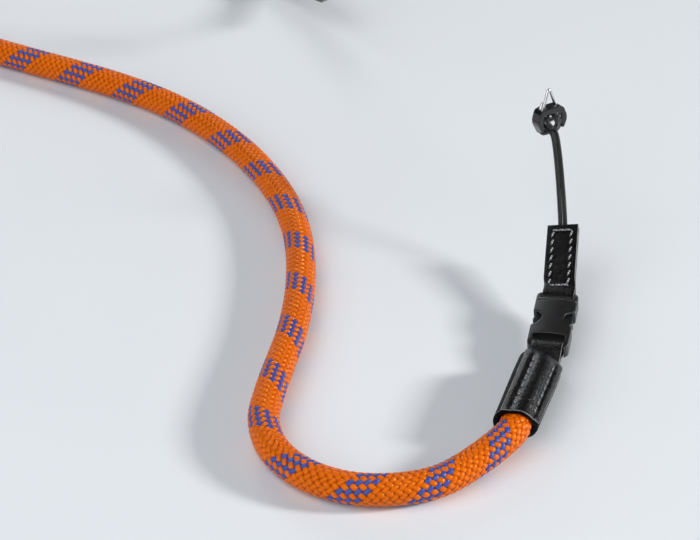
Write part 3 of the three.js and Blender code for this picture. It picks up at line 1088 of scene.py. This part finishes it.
@dataclass
class Rope:
    """The braided rope, from its seat in one sleeve to its seat in the other."""

    diameter: float = 0.010
    strands: int = 10
    lay: float = 0.02443
    thickness: float = 0.00100
    wave: float = 0.00036
    start_angle: float = 3.528
    tracer: int = 4
    core_grid: tuple[int, int] = (420, 16)
    in_sleeve: tuple[float, ...] = (0.0135, 0.0412, 0.0457)
    drift: tuple[Pair, ...] = (
        (0.020, 1.05), (0.066, 0.70), (0.110, -0.45), (0.160, -0.50), (0.205, -0.35),
        (0.250, -0.12), (0.300, -0.35), (0.345, 0.30), (0.385, 0.73),
    )
    rest_height: float = -0.046
    end_heights: Pair = (-0.0452, -0.0454)
    lying: tuple[Pair, ...] = (
        (-0.028, -0.139), (-0.040, -0.1485), (-0.0535, -0.1525), (-0.068, -0.1515),
        (-0.081, -0.1445), (-0.0895, -0.1335), (-0.093, -0.1195), (-0.0915, -0.1045),
        (-0.0885, -0.089), (-0.0855, -0.0735), (-0.0835, -0.0555), (-0.083, -0.0355),
        (-0.0845, -0.0155), (-0.089, 0.0045), (-0.0965, 0.0235), (-0.1065, 0.0415),
        (-0.119, 0.058), (-0.134, 0.073), (-0.1515, 0.0855), (-0.1705, 0.0965),
        (-0.1885, 0.106), (-0.2045, 0.115), (-0.2225, 0.1285), (-0.2395, 0.146),
        (-0.2515, 0.169), (-0.255, 0.196), (-0.249, 0.223), (-0.233, 0.2455),
        (-0.2095, 0.2585), (-0.184, 0.260), (-0.1605, 0.2495), (-0.142, 0.232),
    )

    def route(self, front: EndLines, rear: EndLines) -> Route:
        """The rope's centre line.

        Args:
            front: The lines of the front end.
            rear: The lines of the rear end.

        Returns:
            The line.
        """
        def seat(lines: EndLines) -> Array:
            """Places in a sleeve, from its inside out."""
            return lines.sleeve_origin + np.array(self.in_sleeve)[:, None] * lines.sleeve[:, 0]

        heights = np.full(len(self.lying), self.rest_height)
        heights[[0, -1]] = self.end_heights
        lying = np.column_stack([np.array(self.lying), heights])
        points = np.vstack([seat(front), lying, seat(rear)[::-1]])
        return Route(points, np.cross(UP, points[1] - points[0]))

    def build(self, finishes: Finishes, front: EndLines, rear: EndLines) -> None:
        """Braids the rope.

        Args:
            finishes: The strap's materials.
            front: The lines of the front end.
            rear: The lines of the rear end.
        """
        route = self.route(front, rear)
        form = self.diameter, self.strands, self.lay, self.thickness, self.wave
        braid = Braid(route, *form, self.start_angle, self.drift)
        every, tracer = range(self.strands), range(self.tracer)
        plain = range(self.tracer, self.strands)
        ground = self._strands("rope_right_hand_strands", braid, Hand.RIGHT, every, finishes.orange)
        others = [
            self._strands("rope_left_hand_strands", braid, Hand.LEFT, plain, finishes.orange),
            self._strands("rope_tracer_strands", braid, Hand.LEFT, tracer, finishes.blue),
        ]
        plan = MeshPlan()
        braid.core(plan, 0, *self.core_grid)
        core = plan.make("rope_core", [finishes.core], closed=True)
        others.append(add_piece(core, []))
        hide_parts("rope")

    @staticmethod
    def _strands(name: str, braid: Braid, hand: Hand, chosen: range, finish: Material) -> Object:
        """One piece of the sheath.

        Args:
            name: Its name.
            braid: The braid.
            hand: The way its strands wind.
            chosen: The numbers of its strands.
            finish: Its yarn.

        Returns:
            The piece.
        """
        plan = MeshPlan()
        plan.grids(*braid.floats(hand, chosen))
        return add_piece(plan.make(name, [finish]), [])


@dataclass
class EndPiece:
    """A piece of one end, with the strap's materials and the lines that it is set by."""

    finishes: Finishes
    lines: EndLines


@dataclass
class LoopCord(EndPiece):
    """The thin braided cord between a tab and its ring, hitched round the ring's bar."""

    diameter: float = 0.0016
    strands: int = 4
    lay: float = 0.0034
    thickness: float = 0.00036
    wave: float = 0.00017
    spread: float = 0.00079
    hitch_shift: float = -0.0006
    seat: float = 0.0004
    rises: Pair = (0.0003, 0.0026)
    tab_length: float = 0.031
    ring_bar: float = -0.0092
    core_grid: tuple[int, int] = (160, 10)
    strand_rows: int = 6
    hitch: tuple[Triple, ...] = (
        (-0.0008, 0.0001, 0.0056), (-0.00082, -0.0006, 0.0033), (-0.0009, -0.0017, 0.0015),
        (-0.001, -0.00225, 0.0), (-0.0012, -0.00155, -0.0015), (-0.0014, 0.0, -0.0021),
        (-0.00155, 0.0016, -0.00145), (-0.00165, 0.00225, 0.0002), (-0.0016, 0.00215, 0.0022),
        (-0.00105, 0.00195, 0.0033), (0.0, 0.0019, 0.0036),
    )

    def route(self) -> Route:
        """The cord's line.

        Returns:
            The way up from the tab, round the ring's bar and down beside itself.
        """
        lines = self.lines
        mirror = lines.end.mirror
        across = lines.ring[:, 0]
        shift = np.array([mirror * self.hitch_shift, self.ring_bar, 0.0])
        bar = lines.ring @ shift + np.array(lines.end.eyelet)
        tab_end = lines.tab_origin + lines.tab[:, 0] * self.tab_length
        down = tab_end - bar
        down = unit(down - across * np.dot(down, across))
        out = np.cross(down, across)

        def half(side: int) -> list[Array]:
            """One leg and its half of the hitch.

            Args:
                side: Minus one for the first leg, one for the second.

            Returns:
                Its points, from the tab up.
            """
            sideways = mirror * self.seat - side * self.spread
            beside = lines.tab[:, 1] * sideways
            leg = [tab_end + lines.tab[:, 0] * rise + beside for rise in self.rises]
            turn = [bar - side * a * across + o * out + d * down for a, o, d in self.hitch]
            return leg + turn

        points = np.array(half(-1) + half(1)[::-1][1:])
        return Route(points, lines.tab[:, 1], 12)

    def build(self) -> None:
        """Braids the cord."""
        finishes, lines = self.finishes, self.lines
        route = self.route()
        form = self.diameter, self.strands, self.lay, self.thickness, self.wave
        braid = Braid(route, *form, rows=self.strand_rows)
        plan = MeshPlan()
        for hand in Hand:
            plan.grids(*braid.floats(hand, range(self.strands)))
        braid.core(plan, 1, *self.core_grid)
        name = lines.end.name
        cord = plan.make(f"{name}_loop_cord_braid", [finishes.cord, finishes.cord_core])
        add_piece(cord, [f"{name}_loop_cord"])


@dataclass
class Stitches:
    """Rows of sewn stitches, each a short bead of thread from hole to hole."""

    length: float
    thickness: float
    arch: float = 0.28
    dive: float = 0.75
    flatness: float = 0.85
    rings: int = 9
    sides: int = 8
    plan: MeshPlan = field(default_factory=MeshPlan)

    def add(self, middles: Array, along: Array, out: Array) -> None:
        """Adds stitches that arch from hole to hole.

        Args:
            middles: The middle of each stitch, on the leather.
            along: Its direction.
            out: The leather's outward direction there.
        """
        share = np.linspace(-1, 1, self.rings)[:, None]
        angle = (np.arange(self.sides + 1) * 2 * math.pi / self.sides)[None, :]
        waist = self.thickness / 2 * (1 - np.abs(share) ** 3) ** 0.5
        arch = self.thickness * (self.arch - self.dive * share**4)
        run = np.broadcast_to(share * self.length / 2, (self.rings, self.sides + 1))
        sideways = waist * np.cos(angle)
        height = waist * np.sin(angle) * self.flatness + arch
        side = np.cross(out, along)
        grid = middles[:, None, None, :]
        for offset, way in ((run, along), (sideways, side), (height, out)):
            grid = grid + offset[..., None] * way[:, None, None, :]
        texture = np.stack(np.broadcast_arrays((share + 1) / 2, angle / (2 * math.pi)), axis=-1)
        self.plan.grids(grid, np.broadcast_to(texture, grid.shape[:-1] + (2,)))

    def make(self, name: str, finish: Material) -> Object:
        """Makes one piece of all stitches."""
        return add_piece(self.plan.make(name, [finish]), [])


@dataclass
class FoldedStrip:
    """A leather strip folded round a bar, its two layers running out along x."""

    bar_radius: float
    reach: float
    half_thickness: float
    half_width: float
    leather: float = 0.0013
    corner: float = 0.0003
    closing: float = 2.2
    filled: float = 0.96
    arc: tuple[float, ...] = (95, 125, 155, 180)
    camber: float = 0.05
    stations: tuple[float, ...] = (-0.8, -0.45, 0.0, 0.45, 0.8)
    blend: Pair = (0.003, 0.009)

    def path(self) -> tuple[Array, Array]:
        """The strip's middle line, from the end of its upper layer to that of its lower one.

        Returns:
            Places (x, z) along the line, and the strip's thickness at each.
        """
        loop = self.bar_radius + GAP + self.leather / 2
        level = self.half_thickness / 2
        closed = self.closing * (self.bar_radius + GAP + self.leather)
        upper = [(x, level) for x in np.linspace(self.reach, closed, 12)]
        upper += [(closed * 0.62, level + (loop - level) * 0.45), (closed * 0.3, loop * 0.93)]
        arc = [(loop * math.cos(t), loop * math.sin(t)) for t in np.radians(self.arc)]
        flat = np.array(upper + arc)
        half = np.vstack([flat, flat[-2::-1] * [1, -1]])
        route = Route(np.insert(half, 1, 0.0, axis=1), np.array([0.0, 1.0, 0.0]), 6)
        line = route.line[:, [0, 2]]
        swell = smoothstep(0.3 * closed, 1.3 * closed, line[:, 0])
        return line, self.leather + (self.filled * self.half_thickness - self.leather) * swell

    def add(self, plan: MeshPlan, origin: Array, axes: Array, fold: Array) -> None:
        """Adds the strip to a mesh, with its cut edges in a slot of their own.

        Args:
            plan: The mesh.
            origin: The middle of the bar.
            axes: The strip's own axes.
            fold: The axes of its fold, y along the bar.
        """
        line, thick = self.path()
        along = unit(np.gradient(line, axis=0))
        out = np.stack([along[:, 1], -along[:, 0]], axis=1)
        edge, corner = self.half_width, self.corner
        crown = [(y * edge, 1 - self.camber * y * y, 0.0) for y in self.stations]
        rim = [(edge - corner, 1.0, 0.0), (edge - 0.3 * corner, 1.0, -0.3)]
        rim += [(edge, 1.0, -1.0), (edge, 0.0, 0.0)]
        top = [(-y, s, d) for y, s, d in reversed(rim[:-1])] + crown + rim
        bottom = [(y, -s, -d) for y, s, d in reversed(top[:-1])]
        across, level, drop = np.array(top + bottom[:-1] + [(-edge, 0.0, 0.0)]).T
        rise = thick[:, None] / 2 * level + corner * drop
        flat = line[:, None, :] + rise[..., None] * out[:, None, :]
        local = np.stack([flat[..., 0], np.broadcast_to(across, rise.shape), flat[..., 1]], axis=-1)
        share = smoothstep(*self.blend, flat[..., 0])[..., None]
        placed = origin + (1 - share) * (local @ fold.T) + share * (local @ axes.T)
        apart = np.abs(across)
        is_edge = np.minimum(apart, np.roll(apart, -1)) > edge - 0.5 * corner
        slots = np.where(is_edge, Skin.EDGE, Skin.FACE)
        plan.tube(placed, np.broadcast_to(slots, (len(line) - 1, len(slots))), Skin.EDGE)


@dataclass
class Sleeve(EndPiece):
    """The leather sleeve sewn over the rope's end, and the strip that holds it to the buckle."""

    length: float = 0.0412
    bar_radius: float = 0.0012
    neck_reach: float = 0.0125
    neck_half: float = 0.00495
    neck_thick: float = 0.00145
    bore: float = 0.0053
    squareness: float = 0.92
    flank_angles: tuple[float, ...] = (0, 9, 18, 26, 32)
    panel_share: float = 0.81
    panel_step: float = 0.0007
    flank_inset: float = 0.0002
    mouth_taper: float = 0.14
    mouth_reach: float = 0.0010
    mouth_slant: float = 0.0015
    slant_start: float = 0.026
    roof: Triple = (1.04, 0.43, 1.3)
    roof_share: float = 0.8
    roof_span: Pair = (0.009, 0.014)
    panel_span: Pair = (0.0070, 0.0095)
    shoulder: Pair = (0.007, 0.0124)
    rim: tuple[Pair, ...] = (
        (-0.0001, 0.97), (0.0, 0.86), (0.0, 0.2), (-0.00012, 0.06), (-0.0005, 0.0), (-0.007, 0.0)
    )
    stitch_length: float = 0.0027
    stitch_thickness: float = 0.00082
    stitch_sink: float = 0.00012
    seam_step: float = 0.0005
    stitch_offset: float = 0.0033
    stitch_pitch: float = 0.0035
    stitch_span: Pair = (0.0140, 0.0392)
    stitch_lean: float = 0.35
    seam_ease: Pair = (0.002, 0.001)
    seam_pull: float = 0.38
    groove_width: float = 0.0008
    sections: tuple[tuple[float, float, float, float, float], ...] = (
        (0.0070, 0.0052, 0.0019, 0.0, 0.0),
        (0.0082, 0.0066, 0.0030, 0.0, 0.0),
        (0.0098, 0.0073, 0.0046, 0.0, 0.0),
        (0.0124, 0.0074, 0.0060, 0.0002, 0.0),
        (0.0165, 0.0074, 0.0066, 0.0005, 0.0),
        (0.0330, 0.0072, 0.0066, 0.0005, 0.0003),
        (0.0412, 0.0071, 0.0064, 0.0002, 0.0014),
    )

    def _shares(self) -> Array:
        """Places across the top.

        Returns:
            Shares of the half width, from one side to the other.
        """
        flank = np.cos(np.radians(self.flank_angles))
        edge = self.panel_share
        step = [edge + 0.012, edge - 0.006, edge - 0.03]
        crown = np.linspace(edge - 0.08, 0.04, 20)
        half = np.concatenate([flank, step, crown])
        return np.concatenate([half, [0.0], -half[::-1]])

    def skin(self, x: Array) -> Array:
        """Rings of the sleeve's outside.

        Args:
            x: Distances from the housing's bar.

        Returns:
            Points by ring and place, in the sleeve's axes.
        """
        width, height, groove, skew = smooth_columns(np.array(self.sections), x).T[:, :, None]
        share = self._shares()
        share = np.concatenate([share, share[-2:0:-1]])
        count = len(self._shares())
        sign = np.where(np.arange(len(share)) < count, 1.0, -1.0)
        sign[[0, count - 1]] = 0.0
        rise = np.abs(1 - np.abs(share) ** (2 / self.squareness)) ** (self.squareness / 2)
        y = width * share
        z = height * rise
        row = np.exp(-(((np.abs(y) - self.stitch_offset) / self.groove_width) ** 2))
        start, end = self.stitch_span
        before, after = self.seam_ease
        sewn = smoothstep(start - before, start + after, x)
        sewn = sewn * smoothstep(end + before, end - after, x)
        waves = np.cos(2 * math.pi * (x - start) / self.stitch_pitch)
        pulled = 1 - self.seam_pull + self.seam_pull * waves
        fade = smoothstep(*self.panel_span, x)[:, None]
        panel = np.abs(share) < self.panel_share
        apex, fall, bend = self.roof
        roof = height * apex * (1 - fall * np.abs(share / self.panel_share) ** bend)
        upper = panel & (sign > 0)
        taper = 1 - self.mouth_taper * smoothstep(self.slant_start, self.length, x)[:, None]
        raised = (roof - z) * self.roof_share * smoothstep(*self.roof_span, x)[:, None]
        z = np.where(upper, (z + raised) * taper, z)
        z = z - groove * row * (0.9 + 0.9 * (sewn * pulled)[:, None])
        lift = np.where(panel, upper * self.panel_step, -self.flank_inset)
        swell = 1 + lift * fade / np.hypot(y, z)
        return np.stack([x[:, None] + skew * rise * sign, y * swell, z * sign * swell], axis=-1)

    def rings(self) -> Array:
        """Rings of the whole skin.

        Returns:
            Points from the neck to the mouth, over its rim and a little way back inside.
        """
        body = np.linspace(self.shoulder[1], self.length - 0.0004, 96)
        x = np.concatenate([np.linspace(*self.shoulder, 18)[:-1], body])
        outside = self.skin(x)
        mouth = self.skin(np.array([self.length]))[0]
        radius = np.hypot(mouth[:, 1], mouth[:, 2])
        rim = []
        for shift, share in self.rim:
            scale = (self.bore + share * (radius - self.bore)) / radius
            ring = [mouth[:, 0] + shift, mouth[:, 1] * scale, mouth[:, 2] * scale]
            rim.append(np.stack(ring, axis=-1))
        return np.concatenate([outside, np.array(rim)])

    def slanted(self, points: Array) -> Array:
        """Draws the mouth out to its slanted cut.

        Args:
            points: Points in the sleeve's axes.

        Returns:
            The moved points.
        """
        moved = points.copy()
        near = smoothstep(self.slant_start, self.length, points[..., 0])
        half = self.sections[-1][1]
        slant = self.lines.end.mirror * self.mouth_slant
        moved[..., 0] += near * (self.mouth_reach - slant * points[..., 1] / half)
        return moved

    def build(self) -> None:
        """Builds and sews the sleeve."""
        finishes, lines = self.finishes, self.lines
        name = lines.end.name
        plan = MeshPlan()
        rings = self.slanted(self.rings())
        share = np.abs(np.concatenate([self._shares(), self._shares()[-2:0:-1]]))
        count = len(share)
        inner, outer = np.sort([share, np.roll(share, -1)], axis=0)
        flank = inner > self.panel_share
        lip = (inner < self.panel_share) & (outer > self.panel_share - 0.01)
        slots = np.zeros((len(rings) - 1, count), int)
        # Flanks and the inside of the mouth take the darker leather as painted shade.
        slots[:, flank] = Skin.FLANK
        slots[:, lip] = Skin.EDGE
        slots[-len(self.rim):] = Skin.FLANK
        slots[-len(self.rim) - 1] = Skin.EDGE
        placed = lines.sleeve_origin + rings @ lines.sleeve.T
        plan.grids(placed, wrap=True, slot=slots)
        first = placed[0]
        plan.grids(np.stack([first, np.broadcast_to(first.mean(axis=0), first.shape)]), wrap=True)
        strip = FoldedStrip(self.bar_radius, self.neck_reach, self.neck_thick, self.neck_half)
        strip.add(plan, lines.sleeve_origin, lines.sleeve, lines.sleeve_fold)
        skins = [finishes.leather, finishes.dark_edge, finishes.flank]
        sleeve = plan.make(f"{name}_leather_sleeve", skins, closed=True)
        sleeve.data.set_sharp_from_angle(angle=SHARP_ANGLE)
        add_piece(sleeve, [f"{name}_sleeve"])
        self._sew().make(f"{name}_sleeve_stitches", finishes.thread)

    def _sew(self) -> Stitches:
        """Sews two rows on the upper and two on the lower side.

        Returns:
            The stitches.
        """
        lines = self.lines
        start, end = self.stitch_span
        stitches = Stitches(self.stitch_length, self.stitch_thickness)
        shifts = (-self.seam_step, 0.0, self.seam_step)
        x = np.arange(start + self.stitch_pitch / 2, end, self.stitch_pitch)
        for side in (-1, 1):
            for face in (-1, 1):
                rows = [self._seam_spot(x + shift, side, face) for shift in shifts]
                spots = [self.slanted(row) for row in rows]
                along = unit(spots[2] - spots[0])
                inward = spots[1] * [0.0, self.stitch_lean, 1.0]
                out = unit(inward - along * (inward * along).sum(axis=1, keepdims=True))
                middle = lines.sleeve_origin + (spots[1] - out * self.stitch_sink) @ lines.sleeve.T
                stitches.add(middle, along @ lines.sleeve.T, out @ lines.sleeve.T)
        return stitches

    def _seam_spot(self, x: Array, side: int, face: int) -> Array:
        """Places on the skin in the middle of a row of stitches.

        Args:
            x: Distances from the housing's bar.
            side: Which row, minus one or one.
            face: One for the upper side, minus one for the lower.

        Returns:
            One place for each distance.
        """
        rings = self.skin(x)
        count = len(self._shares())
        lower = np.r_[0, len(rings[0]) - 1:count - 2:-1]
        half = rings[:, :count] if face > 0 else rings[:, lower]
        nearest = np.abs(half[:, :, 1] - side * self.stitch_offset).argmin(axis=1)
        return half[np.arange(len(x)), nearest]


@dataclass
class Tab(EndPiece):
    """The leather tab, folded round the latch's bar and sewn in a box."""

    length: float = 0.031
    half_width: float = 0.00515
    half_thickness: float = 0.00165
    bar_radius: float = 0.0009
    box_half: float = 0.0031
    box_start: float = 0.0046
    box_end: float = 0.0285
    stitch_length: float = 0.0026
    stitch_thickness: float = 0.0006
    side_stitches: int = 7
    end_stitches: int = 3
    slant: float = -0.3
    end_slant: float = 0.16

    def build(self) -> None:
        """Builds and sews the tab."""
        finishes, lines = self.finishes, self.lines
        name = lines.end.name
        plan = MeshPlan()
        strip = FoldedStrip(self.bar_radius, self.length, self.half_thickness, self.half_width)
        strip.add(plan, lines.tab_origin, lines.tab, lines.tab_fold)
        tab = plan.make(f"{name}_leather_tab", [finishes.tab_leather, finishes.edge], closed=True)
        add_piece(tab, [f"{name}_tab"])
        tab.data.set_sharp_from_angle(angle=SHARP_ANGLE)
        self._sew().make(f"{name}_tab_stitches", finishes.glint_thread)

    def _sew(self) -> Stitches:
        """Sews the box through both layers.

        Returns:
            The stitches.
        """
        lines = self.lines
        stitches = Stitches(self.stitch_length, self.stitch_thickness)
        run = self.box_end - self.box_start
        edges = np.linspace(0, 1, self.side_stitches + 1)
        x = self.box_start + run * (edges[:-1] + edges[1:]) / 2
        ends = np.linspace(-1, 1, self.end_stitches + 1)
        y = self.box_half * (ends[:-1] + ends[1:]) / 2
        for face in (-1, 1):
            slant = self.slant * lines.end.mirror
            spots = [(a, side * self.box_half, 1.0, slant) for side in (-1, 1) for a in x]
            box_ends = (self.box_start, self.box_end)
            spots += [(end, b, self.end_slant, 1.0) for end in box_ends for b in y]
            table = np.array(spots)
            level = np.full(len(table), face * self.half_thickness * 0.985)
            middle = np.stack([table[:, 0], table[:, 1], level], axis=-1)
            along = unit(np.stack([table[:, 2], table[:, 3], np.zeros(len(table))], axis=-1))
            out = np.broadcast_to([0.0, 0.0, float(face)], middle.shape)
            axes = lines.tab.T
            stitches.add(lines.tab_origin + middle @ axes, along @ axes, out @ axes)
        return stitches


@dataclass
class Moulded:
    """A moulded piece: the solid's own form with its edges rounded as a mould leaves them."""

    grain: float
    rounds: int
    keep: float = 0.3
    crown: Triple | None = None
    flats: tuple[float, ...] = (-0.93, -0.6, -0.2, 0.2, 0.6, 0.93)

    def build(
        self, node: str, name: str, finish: Material, slot: Slot, origin: Array, axes: Array
    ) -> Object:
        """Rounds a copy of a solid and sets it in the solid's place.

        Args:
            node: The solid.
            name: The new piece's name.
            finish: Its material.
            slot: Its material slot; not used.
            origin: The origin of its own axes.
            axes: Its own axes.

        Returns:
            The piece.
        """
        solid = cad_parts[node]
        rough = add_object(f"{name}.rough", solid.data.copy())
        rough.matrix_world = solid.matrix_world
        remesh = rough.modifiers.new("grain", "REMESH")
        remesh.mode = "VOXEL"
        remesh.voxel_size = self.grain
        smooth = rough.modifiers.new("rounding", "SMOOTH")
        smooth.factor = 0.5
        smooth.iterations = self.rounds
        rough.modifiers.new("thinning", "DECIMATE").ratio = self.keep
        shaped = rough.evaluated_get(bpy.context.evaluated_depsgraph_get())
        mesh = bpy.data.meshes.new_from_object(shaped)
        mesh.transform(rough.matrix_world)
        bpy.data.objects.remove(rough)
        if self.crown:
            self._round_crown(mesh, origin, axes)
        mesh.name = name
        mesh.materials.clear()
        mesh.materials.append(finish)
        mesh.polygons.foreach_set("material_index", np.zeros(len(mesh.polygons), np.int32))
        mesh.shade_smooth()
        return add_piece(add_object(name, mesh), [node])

    def _round_crown(self, mesh: bpy.types.Mesh, origin: Array, axes: Array) -> None:
        """Turns the flats of a crowned upper and lower side into one curve.

        Args:
            mesh: The mesh, in the part's axes.
            origin: The origin of its own axes.
            axes: Its own axes.
        """
        half, middle, edge = self.crown
        points = np.empty(3 * len(mesh.vertices))
        mesh.vertices.foreach_get("co", points)
        points = points.reshape(-1, 3)
        local = (points - origin) @ axes
        stations = half * np.array(self.flats)

        def height(y: Array) -> Array:
            """The crown's height over the middle plane."""
            return middle - (middle - edge) * (y / half) ** 2

        rise = height(local[:, 1]) - np.interp(local[:, 1], stations, height(stations))
        outer = smoothstep(0.7 * edge, 0.9 * edge, np.abs(local[:, 2]))
        outer = outer * (np.abs(local[:, 1]) < stations[-1])
        points += (rise * outer * np.sign(local[:, 2]))[:, None] * axes[:, 2]
        mesh.vertices.foreach_set("co", points.ravel())


@dataclass
class SplitRing(EndPiece):
    """The triangular split ring of bright wire."""

    wire: float = 0.0011
    pitch: float = 0.0012
    half_width: float = 0.0049
    apex: float = 0.0029
    bar: float = -0.0092
    cut: float = 0.0023
    span: Pair = (0.2, 1.8)
    cross: Pair = (0.82, 1.18)
    steps: int = 220
    sides: int = 14

    def outline(self) -> Array:
        """The rounded triangle.

        Returns:
            Its places, closed, from just before its apex.
        """
        half, bar = self.half_width, self.bar
        corners = np.array([[0.0, self.apex], [-half, bar], [half, bar]])
        t = np.linspace(0, 1, 17)[:, None]
        places = []
        for i, corner in enumerate(corners):
            before = corner + self.cut * unit(corners[i - 1] - corner)
            after = corner + self.cut * unit(corners[(i + 1) % 3] - corner)
            places.append((1 - t) ** 2 * before + 2 * t * (1 - t) * corner + t**2 * after)
        return np.vstack([*places, places[0][0]])

    def build(self) -> None:
        """Winds the ring."""
        finishes, lines = self.finishes, self.lines
        outline = self.outline()
        reach = reach_along(outline)
        turns = np.linspace(*self.span, self.steps)
        share = (turns % 1) * reach[-1]
        layer = self.pitch * (smoothstep(*self.cross, turns) - 0.5)
        flat = [np.interp(share, reach, column) for column in outline.T]
        local = np.stack([*flat, layer], axis=-1)
        line = np.array(lines.end.eyelet) + local @ lines.ring.T
        along = unit(np.gradient(line, axis=0))
        side = unit(np.cross(along, lines.ring[:, 2]))
        out = np.cross(side, along)
        angle = (np.arange(self.sides) * 2 * math.pi / self.sides)[None, :, None]
        ring = np.cos(angle) * side[:, None] + np.sin(angle) * out[:, None]
        plan = MeshPlan()
        plan.tube(line[:, None] + self.wire / 2 * ring, 0, 0)
        name = lines.end.name
        made = plan.make(f"{name}_ring_wire", [finishes.wire], closed=True)
        add_piece(made, [f"{name}_split_ring"])


@dataclass
class StrapEnd(EndPiece):
    """All hard and leather pieces of one end."""

    buckle_grain: float = 0.00016
    buckle_crown: Triple = (0.0068, 0.0033, 0.0025)
    buckle_rounds: tuple[tuple[str, int], ...] = (("housing", 6), ("latch", 5))
    guard_grain: float = 0.00013
    guard_rounds: int = 5

    def build(self) -> None:
        """Builds the end's pieces, from the rope to the ring."""
        finishes, lines = self.finishes, self.lines
        name = lines.end.name
        Sleeve(finishes, lines).build()
        for part, rounds in self.buckle_rounds:
            names = f"{name}_buckle_{part}", f"{name}_{part}_moulding"
            half = Moulded(self.buckle_grain, rounds, crown=self.buckle_crown)
            half.build(*names, finishes.plastic, Slot.BUCKLE, lines.ear_tips, lines.buckle)
        Tab(finishes, lines).build()
        names = f"{name}_ring_guard", f"{name}_guard_moulding"
        guard = Moulded(self.guard_grain, self.guard_rounds)
        guard.build(*names, finishes.gloss, Slot.GUARD, np.array(lines.end.eyelet), lines.ring)
        SplitRing(finishes, lines).build()


def main() -> None:
    """Builds the studio and the strap."""
    logging.basicConfig(level=logging.INFO, format="%(message)s")
    finishes = Finishes()
    Studio().build(finishes)
    front = EndLines(EndPlace("front", FRONT_EYELET, 1, 0.0))
    rear = EndLines(EndPlace("rear", REAR_EYELET, -1, REAR_TURN))
    Rope().build(finishes, front, rear)
    for lines in (front, rear):
        LoopCord(finishes, lines).build()
    for lines in (front, rear):
        StrapEnd(finishes, lines).build()


if __name__ == "__main__":
    main()
